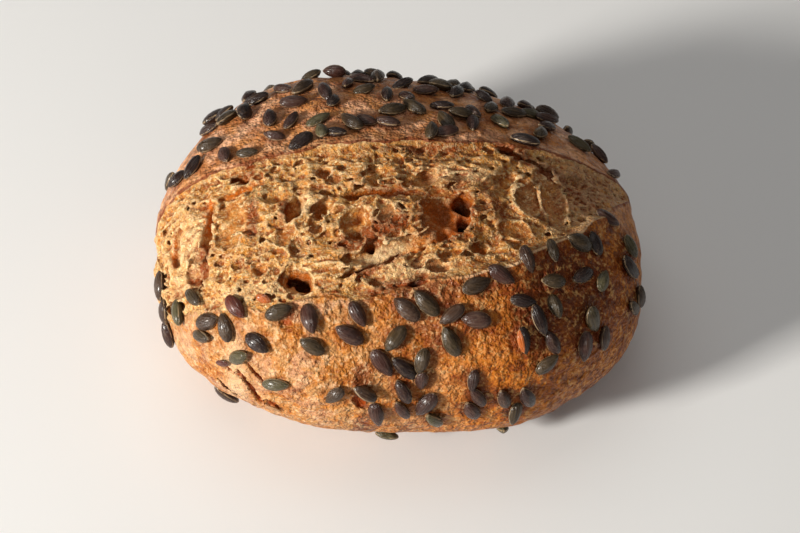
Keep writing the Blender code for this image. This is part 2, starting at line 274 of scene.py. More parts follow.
# The grid that the loaf is carved in
GRID_STEP = 0.00073
GRID_MARGIN = 0.006
TABLE_STEP = 0.5  # degrees between the directions that the crust is worked out for
BAND = 0.017  # depth to which bubbles reach
CRUMB_STRETCH = (0.72, 1.1, 1.0)  # torn crumb is drawn out along the loaf
PITS = ((0.0110, 0.0024), (0.0054, 0.0016), (0.0027, 0.0005))  # how far apart and how deep

# Fine unevenness: how high, how far apart, and the seed of its random values
CRUST_LUMPS = ((0.00060, 0.0082, 1), (0.00046, 0.0040, 2))
CRUMB_LUMPS = ((0.0010, 0.0095, 7), (0.00060, 0.0048, 3), (0.00034, 0.0021, 4))
GRIT = ((0.00060, 0.0050, 51), (0.00040, 0.0023, 52))
CRUMB_EDGE = ((0.0016, 0.0030, 9), (0.0024, 0.0085, 10))
FINE_EDGE = ((0.0006, 0.0022, 9),)

# How many facets are left after thinning
CRUST_FACETS = 78000
LOAF_FACETS = 196000

# The studio: each lamp's place, size, power and colour
FLOOR_REACH = 3.0
LAMPS = {
    "key": ((-1.95, -1.20, 0.87), 0.39, 93, (1.0, 0.965, 0.90)),
    "fill": ((0.2, -1.3, 1.3), 1.4, 3.2, (1.0, 0.97, 0.92)),
    "top": ((-0.3, 0.5, 1.6), 1.4, 5.5, (1.0, 0.97, 0.92)),
}


def smooth_step(low, high, value):
    t = np.clip((value - low) / (high - low), 0, 1)
    return t * t * (3 - 2 * t)


def unit(v):
    return v / np.linalg.norm(v, axis=-1, keepdims=True)


# The crust's shape


def crust_radius(u):
    """How far the unbroken crust lies from the core, along the unit directions u."""
    height = np.where(u[:, 2] > 0, DOME_HEIGHT, TUCK_DEPTH)
    sides = np.stack([u[:, 0] / HALF_LENGTH, u[:, 1] / HALF_DEPTH, u[:, 2] / height])
    radius = (np.abs(sides) ** FULLNESS).sum(0) ** (-1 / FULLNESS)
    x, y = u[:, 0], u[:, 1]
    radius = radius * (1 - SKEW * x * y + EGG * (x**3 - 3 * x * y**2) - LEAN * (3 * x**2 * y - y**3))
    swell = [noise.noise(Vector(p) / SWELL_SIZE) for p in u * radius[:, None]]
    radius = radius + SWELL_HEIGHT * np.array(swell)
    down = np.clip(-u[:, 2], 1e-6, None)
    rounded = (radius**-SOLE_SHARPNESS + (SOLE_LEVEL / down) ** -SOLE_SHARPNESS) ** (-1 / SOLE_SHARPNESS)
    return np.where(u[:, 2] < 0, rounded, radius)


def inside_tear(p):
    """How far the points p lie inside the tear's nearer edge seen from above, below 0 on the crust."""
    x, y, z = p.T
    reach = np.where(x < TEAR_MIDDLE, TEAR_REACH_LEFT, TEAR_REACH_RIGHT)
    along = np.clip(np.abs(x - TEAR_MIDDLE) / reach, 0, 1)
    width = TEAR_WIDTH * (1 - along**TEAR_POWER) * smooth_step(TEAR_FOOT, TEAR_FOOT + TEAR_FOOT_RISE, z)
    back = TEAR_BACK_Y + TEAR_BACK_SLOPE * x
    ragged = RAGGED_DEPTH * np.array([noise.noise(Vector(q) / RAGGED_SIZE) for q in p])
    closed = TEAR_CLOSED * (1 - smooth_step(0, TEAR_CLOSING, width))
    return np.minimum(back - y, y - (back - width)) + ragged - closed


def crust_normal(direction):
    """The outward normal of the unbroken crust along one unit direction."""
    side = np.cross(direction, (0, 0, 1) if abs(direction[2]) < 0.9 else (1, 0, 0))
    side = side / np.linalg.norm(side)
    up = np.cross(side, direction)
    step = 0.03
    around = unit(np.array([direction + step * v for v in (side, up, -side, -up)]))
    p = around * crust_radius(around)[:, None]
    normal = np.cross(p[0] - p[2], p[1] - p[3])
    return normal / np.linalg.norm(normal) * np.sign(normal @ direction)


def oval_distance(x, y, oval, turn):
    """How far places seen from above lie from an oval's middle: 1 on its outline."""
    cx, cy, length, width = oval[:4]
    c, s = math.cos(math.radians(turn)), math.sin(math.radians(turn))
    east, north = x / MM - cx, y / MM - cy
    return np.hypot((east * c + north * s) / (length / 2), (north * c - east * s) / (width / 2))


def is_rimmed(name):
    return name.split("_")[-1] in RIMMED


def is_carved(name):
    """True for the hollows that are carved after the crumb has its texture."""
    return name.split("_")[-1] not in TEXTURED


def shallow_depth(p):
    """How deep the shallow hollows are at the points p."""
    depth = np.zeros(len(p))
    for name, hollow in HOLLOWS.items():
        if not is_carved(name):
            bowl = np.clip(1 - oval_distance(p[:, 0], p[:, 1], hollow, hollow[5]) ** 2, 0, 1)
            depth = np.maximum(depth, hollow[4] * MM * bowl * (p[:, 2] > 0))
    return depth


class CrustTable:
    """The crust and the tear worked out once for every direction, and read from there at any point."""

    def __init__(self):
        levels = np.radians(np.arange(-90, 90 + TABLE_STEP, TABLE_STEP))
        bearings = np.radians(np.arange(-180, 180 + TABLE_STEP, TABLE_STEP))
        level, bearing = np.meshgrid(levels, bearings, indexing="ij")
        girth = np.cos(level)
        u = np.stack([girth * np.cos(bearing), girth * np.sin(bearing), np.sin(level)], axis=-1)
        u = u.reshape(-1, 3)
        radius = crust_radius(u)
        p = u * radius[:, None]
        inside = inside_tear(p)
        torn = smooth_step(0, RECESS_RUN, inside)
        crags = np.array([noise.turbulence(Vector(q) / CRAG_SIZE, 2, True) for q in p])
        front = smooth_step(0, 0.02, -p[:, 1]) * smooth_step(-0.02, 0.06, p[:, 0])
        lip = LIP_HEIGHT * front * np.exp(-((inside / LIP_RUN) ** 2))
        ear = EAR_HEIGHT * smooth_step(0, 0.01, p[:, 1]) * np.exp(-((inside / EAR_RUN) ** 2))
        recess = RECESS * smooth_step(*RECESS_START, p[:, 0])
        sunk = recess + CRAG_HEIGHT * (crags - crags.mean()) + shallow_depth(p)
        skin = radius + (lip + ear) * (1 - torn) - torn * sunk
        tables = (values.reshape(level.shape).astype(np.float32) for values in (radius, skin, inside))
        self.radius, self.skin, self.inside = tables

    def read(self, table, p):
        """The table's value in the direction of each point p, which is measured from the core."""
        distance = np.linalg.norm(p, axis=-1)
        level = np.degrees(np.arcsin(np.clip(p[..., 2] / np.maximum(distance, 1e-9), -1, 1)))
        bearing = np.degrees(np.arctan2(p[..., 1], p[..., 0]))
        row = (level + 90) / TABLE_STEP
        column = (bearing + 180) / TABLE_STEP
        i = np.clip(row.astype(np.int32), 0, table.shape[0] - 2)
        j = np.clip(column.astype(np.int32), 0, table.shape[1] - 2)
        a, b = row - i, column - j
        low = table[i, j] * (1 - b) + table[i, j + 1] * b
        high = table[i + 1, j] * (1 - b) + table[i + 1, j + 1] * b
        return low * (1 - a) + high * a


class Lumps:
    """Smooth random values between -1 and 1 that fill space, one lump every so many metres."""

    CELLS = 48

    def __init__(self, size, seed):
        self.size = size
        self.values = np.random.default_rng(seed).uniform(-1, 1, (self.CELLS,) * 3).astype(np.float32)

    def at(self, p):
        q = p / self.size
        cell = np.floor(q).astype(np.int32)
        t = (q - cell).astype(np.float32)
        t = t * t * (3 - 2 * t)
        total = 0
        for corner in np.ndindex(2, 2, 2):
            weight = 1
            for axis in range(3):
                weight = weight * (t[..., axis] if corner[axis] else 1 - t[..., axis])
            i, j, k = ((cell[..., axis] + corner[axis]) % self.CELLS for axis in range(3))
            total = total + weight * self.values[i, j, k]
        return total


def lumps_of(rows):
    """The random values of each row, with how high they stand."""
    return [(height, Lumps(size, seed)) for height, size, seed in rows]


def relief(lumps, p):
    """How high the lumps stand together at the points p."""
    return sum(height * field.at(p) for height, field in lumps)


class Cells:
    """Bubbles that fill space, one to each cube of that size, and the distance to the walls between them."""

    COUNT = 40

    def __init__(self, size, seed):
        self.size = size
        shape = (self.COUNT,) * 3 + (3,)
        self.middles = np.random.default_rng(seed).uniform(0.05, 0.95, shape).astype(np.float32)

    def at(self, p):
        """0 on a wall and near 1 in the middle of a bubble."""
        q = (p / self.size).astype(np.float32)
        cell = np.floor(q).astype(np.int32)
        nearest = np.full(q.shape[:-1], 9, dtype=np.float32)
        second = nearest.copy()
        for offset in np.ndindex(3, 3, 3):
            other = cell + (np.array(offset, dtype=np.int32) - 1)
            i, j, k = (other[..., axis] % self.COUNT for axis in range(3))
            away = np.linalg.norm(other + self.middles[i, j, k] - q, axis=-1)
            second = np.minimum(second, np.maximum(nearest, away))
            nearest = np.minimum(nearest, away)
        return second - nearest


# The seeds' places


def across_view(normal, turn):
    """The way along the crust that looks turned by an angle from +X, seen from the front and above."""
    toward = np.array([0, -math.cos(VIEW_TILT), math.sin(VIEW_TILT)])
    upward = np.array([0, math.sin(VIEW_TILT), math.cos(VIEW_TILT)])
    way = np.array([math.cos(turn), 0, 0]) + upward * math.sin(turn)
    way = way - toward * (way @ normal) / max(toward @ normal, 0.35)
    way = way - normal * (way @ normal)
    return way / np.linalg.norm(way)


def on_front(x, z):
    """The direction of the front crust's point that lies x along the loaf and z above its core."""
    near, far = -0.2, 0.0
    for _ in range(40):
        y = (near + far) / 2
        point = np.array([[x, y, z]])
        distance = np.linalg.norm(point)
        if distance > crust_radius(point / distance)[0]:
            near = y
        else:
            far = y
    return point[0] / distance


def on_crust(x, z, turn):
    """A place on the front crust, its normal, and the way along it that looks turned by that angle."""
    direction = on_front(x * MM, z * MM)
    normal = crust_normal(direction)
    way = across_view(normal, math.radians(turn))
    return direction * crust_radius(direction[None])[0], normal, way


def seed_share(p):
    """The share of random draws that is kept for the crust at point p, from 0 to 1."""
    x, y, z = p / MM
    if y > 0:
        return np.interp(z, SEED_BACK_LEVELS, SEED_BACK_SHARES)
    share = SEED_SHARE_LOW
    for patch in SEED_PATCHES:
        away = np.linalg.norm(np.array([x, y, z]) - patch[:3]) / patch[3]
        share = max(share, patch[4] * math.exp(-(away**4)))
    return share


def seed_places():
    """The seeds as (place, normal, long way, tip, roll, size, lift), from the core."""
    draw = random.Random(SEED_DRAW)
    places = []
    for x, z, turn in LONE_SEEDS:
        tip, roll, size = draw.gauss(0, LONE_TIP), draw.gauss(0, SEED_ROLL), draw.uniform(*LONE_SIZES)
        places.append((*on_crust(x, z, turn), tip, roll, size, 0))
    for _ in range(SEED_DRAWS):
        level, bearing = draw.uniform(LOWEST_DRAW, 1), draw.uniform(-math.pi, math.pi)
        chance, turn, tip = draw.random(), draw.uniform(0, 2 * math.pi), draw.gauss(0, DRAWN_TIP)
        roll, size, stands = draw.gauss(0, SEED_ROLL), draw.uniform(*DRAWN_SIZES), draw.random()
        girth = math.sqrt(1 - level**2)
        direction = np.array([girth * math.cos(bearing), girth * math.sin(bearing), level])
        point = direction * crust_radius(direction[None])[0]
        if chance > seed_share(point) or point[2] < SEED_LOWEST - CORE[2]:
            continue
        if inside_tear(point[None])[0] > -SEED_CLEARANCE:
            continue
        nearest = min((np.linalg.norm(point - other[0]) for other in places), default=1)
        if nearest < SEED_SPACING * (CROWDING if stands < CROWDED_SHARE else 1):
            continue
        if stands > 1 - STANDING_SHARE:
            roll += STANDING_ROLL
        lift = SEED_LIFT * max(0, 1 - nearest / SEED_SPACING)
        normal = crust_normal(direction)
        side = np.cross(normal, [math.cos(turn), math.sin(turn), 0.3])
        places.append((point, normal, side / np.linalg.norm(side), tip, roll, size, lift))
        if len(places) == SEED_COUNT:
            break
    return places


# The loaf


class Dough:
    """The loaf as a grid of distances: less than 0 inside it, with every position measured from the core."""

    def __init__(self, crust):
        self.crust = crust
        reach = np.array([HALF_LENGTH, HALF_DEPTH, 0]) * 1.04 + GRID_MARGIN
        low = np.array([-reach[0], -reach[1], -CORE[2] - GRID_MARGIN / 2])
        high = np.array([reach[0], reach[1], DOME_HEIGHT + GRID_MARGIN])
        self.low = low
        counts = np.ceil((high - low) / GRID_STEP).astype(int)
        self.axes = [(low[a] + GRID_STEP * np.arange(counts[a])).astype(np.float32) for a in range(3)]
        self.value = self.rough_body()
        self.grit = lumps_of(GRIT)

    def rough_body(self):
        """The body's distance with no unevenness, good enough to find the cells near the crust."""
        x, y, z = np.meshgrid(*self.axes, indexing="ij", sparse=True)
        height = np.where(z > 0, DOME_HEIGHT, TUCK_DEPTH)
        total = sum(np.abs(side) ** FULLNESS for side in (x / HALF_LENGTH, y / HALF_DEPTH, z / height))
        distance = np.sqrt(x * x + y * y + z * z)
        return (distance * (1 - np.maximum(total, 1e-6) ** (-1 / FULLNESS))).astype(np.float32)

    def point(self, cells):
        return np.stack([self.axes[a][cells[a]] for a in range(3)], axis=-1)

    def shape_crust(self, lumps):
        """Gives the cells near the surface their true distance, with the crust's lumps and blisters."""
        near = np.nonzero(np.abs(self.value) < BAND)
        p = self.point(near)
        distance = np.linalg.norm(p, axis=1)
        value = distance - self.crust.read(self.crust.skin, p)
        torn = smooth_step(0, RECESS_RUN, self.crust.read(self.crust.inside, p))
        close = np.abs(value) < 0.005
        value[close] += relief(lumps["crust"], p[close]) * (1 - torn[close])
        close = (np.abs(value) < 0.005) & (torn > 0)
        value[close] += crumb_relief(p[close], lumps)[0] * torn[close]
        self.value[near] = value
        self.value[self.value >= BAND] = BAND

    def carve(self, centre, frame_axes, halves, rim, warp, blend):
        """Takes an oval bubble out of the loaf, with a raised rim round its mouth if rim is over 0.

        The rows of frame_axes are the bubble's long, side and outward directions, and halves its half sizes.
        """
        reach = max(halves) + 0.002
        window = []
        for a in range(3):
            start = int((centre[a] - reach - self.low[a]) / GRID_STEP)
            stop = int((centre[a] + reach - self.low[a]) / GRID_STEP) + 2
            window.append(slice(max(start, 0), max(stop, 0)))
        window = tuple(window)
        x, y, z = np.meshgrid(*(self.axes[a][window[a]] for a in range(3)), indexing="ij")
        p = np.stack([x, y, z], axis=-1)
        if p.size == 0:
            return
        local = (p - centre) @ frame_axes.T.astype(np.float32)
        field, share = warp
        local = local + field.at(p)[..., None] * share * min(halves)
        scaled = local / np.array(halves, dtype=np.float32)
        length = np.linalg.norm(scaled, axis=-1)
        bubble = (length - 1) * min(halves)
        if max(halves) > GRITTY and rim == 0:
            bubble = bubble + relief(self.grit, p)
        value = self.value[window]
        if rim > 0:
            wall = np.maximum(np.abs(bubble - rim * 0.35) - rim * 0.55, value - rim)
            value = np.minimum(value, wall)
        hollow = -bubble
        mix = np.clip(0.5 + 0.5 * (hollow - value) / blend, 0, 1)
        self.value[window] = value * (1 - mix) + hollow * mix + blend * mix * (1 - mix)

    def cut_sole(self):
        """Ends the loaf at its flat sole."""
        under = (-CORE[2] - self.axes[2])[None, None, :]
        self.value = np.maximum(self.value, under)


def crumb_relief(p, lumps):
    """How deep the torn crumb lies at the points p, how much of a pit each is in, and the drawn-out p."""
    flow = p + 0.0055 * np.stack([field.at(p) for field in lumps["flow"]], axis=1)
    flow = flow * np.array(CRUMB_STRETCH, dtype=np.float32)
    depth = relief(lumps["crumb"], flow)
    pit = 0
    for (_, deep), cells, patches in zip(PITS, lumps["pits"], lumps["patches"]):
        open_share = 0.25 + 0.75 * smooth_step(-0.35, 0.35, patches.at(p))
        inside = smooth_step(0.03, 0.40, cells.at(flow)) * open_share
        depth = depth + deep * (inside - 0.4)
        pit = np.maximum(pit, inside)
    return depth, pit, flow


def surface_net(value, low, step):
    """The closed surface where the grid's value is 0, as points and four-sided faces."""
    solid = value < 0
    count = np.zeros([n - 1 for n in value.shape], dtype=np.uint8)
    corners = list(np.ndindex(2, 2, 2))
    for i, j, k in corners:
        count += solid[i : i + count.shape[0], j : j + count.shape[1], k : k + count.shape[2]]
    cells = np.array(np.nonzero((count > 0) & (count < 8)))
    total = np.zeros((cells.shape[1], 3), dtype=np.float32)
    hits = np.zeros(cells.shape[1], dtype=np.float32)
    at_corner = {c: value[cells[0] + c[0], cells[1] + c[1], cells[2] + c[2]] for c in corners}
    for corner in corners:
        for axis in range(3):
            if corner[axis]:
                continue
            other = tuple(c + (a == axis) for a, c in enumerate(corner))
            first, second = at_corner[corner], at_corner[other]
            crossed = (first < 0) != (second < 0)
            share = np.where(crossed, first / np.where(crossed, first - second, 1), 0)
            along = np.eye(3, dtype=np.float32)[axis]
            hit = np.array(corner, dtype=np.float32)[None] + along * share[:, None]
            total += hit * crossed[:, None]
            hits += crossed
    points = low + step * (cells.T + total / hits[:, None])
    number = np.full(count.shape, -1, dtype=np.int32)
    number[tuple(cells)] = np.arange(cells.shape[1])
    faces = []
    for axis in range(3):
        across, beyond = (axis + 1) % 3, (axis + 2) % 3
        start = [slice(1, -1)] * 3
        start[axis] = slice(0, -1)
        stop = list(start)
        stop[axis] = slice(1, None)
        first, second = solid[tuple(start)], solid[tuple(stop)]
        for leaving in (True, False):
            edge = np.array(np.nonzero(first & ~second if leaving else ~first & second))
            for a in (across, beyond):
                edge[a] += 1
            ring = []
            for step_across, step_beyond in ((-1, -1), (0, -1), (0, 0), (-1, 0)):
                cell = edge.copy()
                cell[across] += step_across
                cell[beyond] += step_beyond
                ring.append(number[tuple(cell)])
            faces.append(np.stack(ring if leaving else ring[::-1], axis=1))
    return points, np.concatenate(faces)


def largest_part(points, faces):
    """Drops the crumbs that hang free of the loaf."""
    label = np.arange(len(points))
    edges = np.concatenate([faces[:, [a, (a + 1) % 4]] for a in range(4)])
    while True:
        lowest = np.minimum(label[edges[:, 0]], label[edges[:, 1]])
        renewed = label.copy()
        np.minimum.at(renewed, edges[:, 0], lowest)
        np.minimum.at(renewed, edges[:, 1], lowest)
        renewed = renewed[renewed]
        if (renewed == label).all():
            break
        label = renewed
    names, sizes = np.unique(label, return_counts=True)
    kept = label == names[sizes.argmax()]
    number = np.cumsum(kept) - 1
    return points[kept], number[faces[kept[faces[:, 0]]]]


def surface_levels(crust, x, y):
    """How high above the core the skin lies at places seen from above, 0 or less beyond the loaf."""
    low, high = np.full(len(x), -0.01), np.full(len(x), 0.09)
    for _ in range(16):
        z = (low + high) / 2
        p = np.stack([x, y, z], axis=1)
        under = np.linalg.norm(p, axis=1) < crust.read(crust.skin, p)
        low, high = np.where(under, z, low), np.where(under, high, z)
    return z


def in_hollow(x, y, spare):
    """True where a place seen from above lies in one of the carved hollows, or about spare beyond it."""
    found = np.zeros(len(x), dtype=bool)
    for name, hollow in HOLLOWS.items():
        if is_carved(name):
            found |= oval_distance(x, y, hollow, hollow[5]) < 1 + spare / (hollow[3] / 2 * MM)
    return found


def crumb_bubbles(crust, spec, seed):
    """Small bubbles on the torn crumb, as rows of place, turn, radius and two random shares."""
    tries, smallest, largest, spacing = spec
    draw = np.random.default_rng(seed)
    x, y = draw.uniform(-0.121, 0.121, tries), draw.uniform(-0.080, 0.022, tries)
    turn, wide, ray = draw.normal(0.2, 0.5, tries), draw.random(tries), draw.random(tries)
    radius = smallest + (largest - smallest) * draw.random(tries) ** 2
    places = np.stack([x, y, surface_levels(crust, x, y)], axis=1)
    inside = crust.read(crust.inside, places)
    fits = (places[:, 2] > 0) & (inside > 0.0010 + radius * 0.5) & ~in_hollow(x, y, radius * 0.6)
    kept, taken = [], {}
    for number in np.nonzero(fits)[0]:
        place = places[number]
        room = spacing + radius[number]
        key = tuple(np.floor(place / (spacing + largest)).astype(int))
        close = [
            other
            for offset in np.ndindex(3, 3, 3)
            for other in taken.get(tuple(k + o - 1 for k, o in zip(key, offset)), ())
        ]
        if any(np.linalg.norm(place - other) < room for other in close):
            continue
        taken.setdefault(key, []).append(place)
        kept.append((place, turn[number], radius[number], wide[number], ray[number]))
    return kept


def frame_at(p, turn):
    """Rows: the way on the crust that is turned from +X by an angle, its left, and the outward normal."""
    normal = crust_normal(p / np.linalg.norm(p))
    east = np.array([1, 0, 0]) - normal * normal[0]
    east = east / np.linalg.norm(east)
    north = np.cross(normal, east)
    along = east * math.cos(turn) + north * math.sin(turn)
    return np.stack([along, np.cross(normal, along), normal])


def carve_crumb(dough, crust):
    """Opens the crumb's bubbles, and then the named hollows."""
    wobble = Lumps(0.0060, 5)
    fine_wobble = Lumps(0.0021, 6)
    for spec, seed, rim, blend in ((FINE_BUBBLES, 12, 0, 0.0004), (OPEN_BUBBLES, 11, 0.0006, 0.0005)):
        for place, turn, radius, wide, ray in crumb_bubbles(crust, spec, seed):
            axes = frame_at(place, turn)
            halves = (radius * (1.05 + 0.9 * wide), radius * 0.90, radius * (0.60 + 0.5 * ray))
            centre = place + axes[2] * radius * (0.30 - 0.60 * ray)
            dough.carve(centre, axes, halves, rim, (fine_wobble, 0.30), blend)
    carved = {name: hollow for name, hollow in HOLLOWS.items() if is_carved(name)}
    carved.update(SLOTS)
    x, y = (np.array([h[a] * MM for h in carved.values()]) for a in (0, 1))
    for level, (name, hollow) in zip(surface_levels(crust, x, y), carved.items()):
        x, y, length, width, deep, turn = hollow
        place = np.array([x * MM, y * MM, level])
        axes = frame_at(place, math.radians(turn))
        halves = (length * 0.52 * MM, width * 0.52 * MM, deep * 0.58 * MM)
        centre = place - axes[2] * deep * 0.10 * MM
        if is_rimmed(name):
            centre = place + axes[2] * deep * 0.12 * MM
            dough.carve(centre, axes, halves, RIM, (wobble, 0.25), 0.0007)
        else:
            dough.carve(centre, axes, halves, 0, (wobble, 0.45), 0.0012)
        if name in SLOTS or deep < CORED:
            continue
        toward_light = axes @ np.array([-0.8, -0.6, 0])
        shift = axes[0] * toward_light[0] * length * 0.14 + axes[1] * toward_light[1] * width * 0.16
        halves = (length * 0.36 * MM, width * 0.34 * MM, deep * 0.60 * MM)
        centre = place + (shift - axes[2] * deep * 0.50) * MM
        dough.carve(centre, axes, halves, 0, (fine_wobble, 0.30), 0.0007)


def crack_crust(dough, crust):
    for x, z, length, width, deep, turn in CRACKS:
        direction = on_front(x * MM, z * MM)
        p = direction * float(crust.read(crust.skin, direction))
        axes = frame_at(p, math.radians(turn))
        halves = (length / 2 * MM, width / 2 * MM, deep * MM)
        dough.carve(p, axes, halves, 0.0005, (Lumps(0.004, 8), 0.9), 0.0006)


def add_object(name, data):
    obj = bpy.data.objects.new(name, data)
    bpy.context.scene.collection.objects.link(obj)
    return obj


def mesh_of(name, points, faces):
    mesh = bpy.data.meshes.new(name)
    mesh.vertices.add(len(points))
    mesh.vertices.foreach_set("co", points.astype(np.float32).ravel())
    mesh.loops.add(faces.size)
    mesh.loops.foreach_set("vertex_index", faces.astype(np.int32).ravel())
    mesh.polygons.add(len(faces))
    mesh.polygons.foreach_set("loop_start", np.arange(0, faces.size, faces.shape[1], dtype=np.int32))
    mesh.update(calc_edges=True)
    mesh.validate()
    return add_object(name, mesh)


def rows_of(items, name, width, kind=np.float32):
    """What all the items of a mesh have under that name, one row for each."""
    rows = np.empty(len(items) * width, dtype=kind)
    items.foreach_get(name, rows)
    return rows.reshape(-1, width)


def points_of(mesh):
    return rows_of(mesh.vertices, "co", 3)


def store(mesh, name, values):
    """Keeps one number, or one vector, for every point of the mesh."""
    values = np.ascontiguousarray(values, dtype=np.float32)
    kind, field = ("FLOAT", "value") if values.ndim == 1 else ("FLOAT_VECTOR", "vector")
    mesh.attributes.new(name, kind, "POINT").data.foreach_set(field, values.ravel())


def make_mesh_final(obj):
    """Puts what the modifiers make into the object's own mesh."""
    graph = bpy.context.evaluated_depsgraph_get()
    obj.data = bpy.data.meshes.new_from_object(obj.evaluated_get(graph))
    obj.modifiers.clear()


def neighbours_of(mesh, values):
    """For each point of the mesh, the sum of its neighbours' values and how many neighbours it has."""
    edges = rows_of(mesh.edges, "vertices", 2, np.int32)
    total = sum(np.bincount(edges[:, a], values[edges[:, 1 - a]], len(values)) for a in (0, 1))
    return total, np.bincount(edges.ravel(), minlength=len(values))


def bulge_of(mesh):
    """How much each point of the mesh stands out from its neighbours, in metres."""
    points, normals = points_of(mesh), rows_of(mesh.vertex_normals, "vector", 3)
    sums = [neighbours_of(mesh, points[:, axis]) for axis in range(3)]
    middle = np.stack([total / np.maximum(count, 1) for total, count in sums], axis=1)
    return ((points - middle) * normals).sum(1)


def smoothed(mesh, values, rounds):
    """The values, each averaged with its neighbours over the mesh, so many times."""
    for _ in range(rounds):
        total, count = neighbours_of(mesh, values)
        values = (values + total) / (count + 1)
    return values


def thin_out(obj, chosen, facets):
    """Thins the mesh to that many facets, by merging only around the chosen points."""
    group = obj.vertex_groups.new(name="thin")
    for weight in (0.0, 1.0):
        group.add(np.nonzero(chosen == (weight > 0))[0].tolist(), weight, "REPLACE")
    thin = obj.modifiers.new("thin", "DECIMATE")
    thin.ratio = facets / sum(len(polygon.vertices) - 2 for polygon in obj.data.polygons)
    thin.vertex_group = "thin"
    thin.vertex_group_factor = 1.0
    make_mesh_final(obj)
    obj.vertex_groups.clear()


def tint_at(p, spots):
    """How strongly the spots of one tint colour the points p, from 0 to 1."""
    total = np.zeros(len(p), dtype=np.float32)
    for *oval, turn, strength in spots.values():
        away = oval_distance(p[:, 0], p[:, 1], oval, turn)
        total = np.maximum(total, strength * np.exp(-(away**3)))
    return total


def bake_loaf(crust, seeds):
    """The whole loaf as one mesh, with the numbers that its colours follow."""
    dough = Dough(crust)
    lumps = {
        "crust": lumps_of(CRUST_LUMPS),
        "crumb": lumps_of(CRUMB_LUMPS),
        "flow": [Lumps(0.021, seed) for seed in (21, 22, 23)],
        "pits": [Cells(size, seed) for seed, (size, _) in enumerate(PITS, 31)],
        "patches": [Lumps(0.015, seed) for seed in range(41, 41 + len(PITS))],
    }
    dough.shape_crust(lumps)
    carve_crumb(dough, crust)
    crack_crust(dough, crust)
    dough.cut_sole()
    points, faces = largest_part(*surface_net(dough.value, dough.low, GRID_STEP))
    loaf = mesh_of("crusty_loaf", points + CORE, faces)
    is_torn = crust.read(crust.inside, points) > -EDGE_WIDTH
    torn_facets = 2 * int(is_torn[faces].all(axis=1).sum())
    thin_out(loaf, ~is_torn, torn_facets + CRUST_FACETS)
    is_torn = crust.read(crust.inside, points_of(loaf.data) - CORE) > -EDGE_WIDTH
    thin_out(loaf, is_torn, LOAF_FACETS)
    mesh = loaf.data
    p = points_of(mesh) - CORE
    inside = crust.read(crust.inside, p)
    ragged = relief(lumps_of(CRUMB_EDGE), p)
    ragged = ragged * smooth_step(-0.05, 0.03, -p[:, 0]) * (0.5 + 0.5 * smooth_step(0.0, 0.03, -p[:, 1]))
    nearest = np.full(len(p), 1.0, dtype=np.float32)
    for place, *_ in seeds:
        nearest = np.minimum(nearest, np.linalg.norm(p - place, axis=1))
    _, pit, flow = crumb_relief(p, lumps)
    x, y = p[:, 0], p[:, 1]
    near_hollow = in_hollow(x, y, 0.0010) & (inside > 0)
    # bulge, depth, seed_near and pit steer the finish's painted highlights on ridges and its painted shade
    # in hollows, pits and round the seeds
    marks = {
        "crumb": smooth_step(-0.0004, 0.0012, inside + ragged + relief(lumps_of(FINE_EDGE), p)),
        "depth": (crust.read(crust.radius, p) - np.linalg.norm(p, axis=1)) / MM,
        "edge": inside / MM,
        "bulge": smoothed(mesh, bulge_of(mesh), 1) / MM,
        "seed_near": nearest / MM,
        "pit": pit * (1 - in_hollow(x, y, 0)),
        "hollow": smoothed(mesh, near_hollow.astype(np.float32), 2),
        "flow": flow,
    }
    marks.update({name: tint_at(p, spots) for name, spots in TINTS.items()})
    for name, values in marks.items():
        store(mesh, name, values)
    mesh.shade_smooth()
    return loaf


# Materials


def screen(red, green, blue):
    """A colour given as it looks on a screen, 0 to 255, as the shader wants it."""
    scaled = [c / 255 for c in (red, green, blue)]
    return tuple(c / 12.92 if c <= 0.04045 else ((c + 0.055) / 1.055) ** 2.4 for c in scaled) + (1.0,)


class Value:
    """A number of a tree of nodes, so that plain arithmetic on it adds Math nodes."""

    def __init__(self, owner, socket):
        self.owner = owner
        self.socket = socket

    def math(self, operation, *others, first=None):
        values = [self if first is None else first, *others]
        node = self.owner.node("ShaderNodeMath", dict(enumerate(values)), operation=operation)
        return Value(self.owner, node.outputs[0])

    def __add__(self, other):
        return self.math("ADD", other)

    def __sub__(self, other):
        return self.math("SUBTRACT", other)

    def __rsub__(self, other):
        return self.math("SUBTRACT", self, first=other)

    def __mul__(self, other):
        return self.math("MULTIPLY", other)

    def __rtruediv__(self, other):
        return self.math("DIVIDE", self, first=other)

    def __pow__(self, other):
        return self.math("POWER", other)

    def __abs__(self):
        return self.math("ABSOLUTE")

    __radd__ = __add__
    __rmul__ = __mul__

    def top(self, other):
        return self.math("MAXIMUM", other)

    def between(self, low, high):
        """0 below low, 1 above high, and smooth from one to the other."""
        sockets = {"Value": self, "From Min": low, "From Max": high}
        node = self.owner.node("ShaderNodeMapRange", sockets, interpolation_type="SMOOTHSTEP")
        return Value(self.owner, node.outputs[0])


class Nodes:
    """A tree of nodes under construction."""

    def __init__(self, tree):
        self.tree = tree

    def node(self, kind, sockets=None, **settings):
        node = self.tree.nodes.new(kind)
        for name, setting in settings.items():
            setattr(node, name, setting)
        for name, value in (sockets or {}).items():
            self.feed(node.inputs[name], value)
        return node

    def feed(self, socket, value):
        if isinstance(value, Value):
            value = value.socket
        if isinstance(value, bpy.types.NodeSocket):
            self.tree.links.new(value, socket)
        else:
            socket.default_value = value

    def parts(self, vector):
        """The three numbers of a vector."""
        return [Value(self, output) for output in self.node("ShaderNodeSeparateXYZ", {0: vector}).outputs]


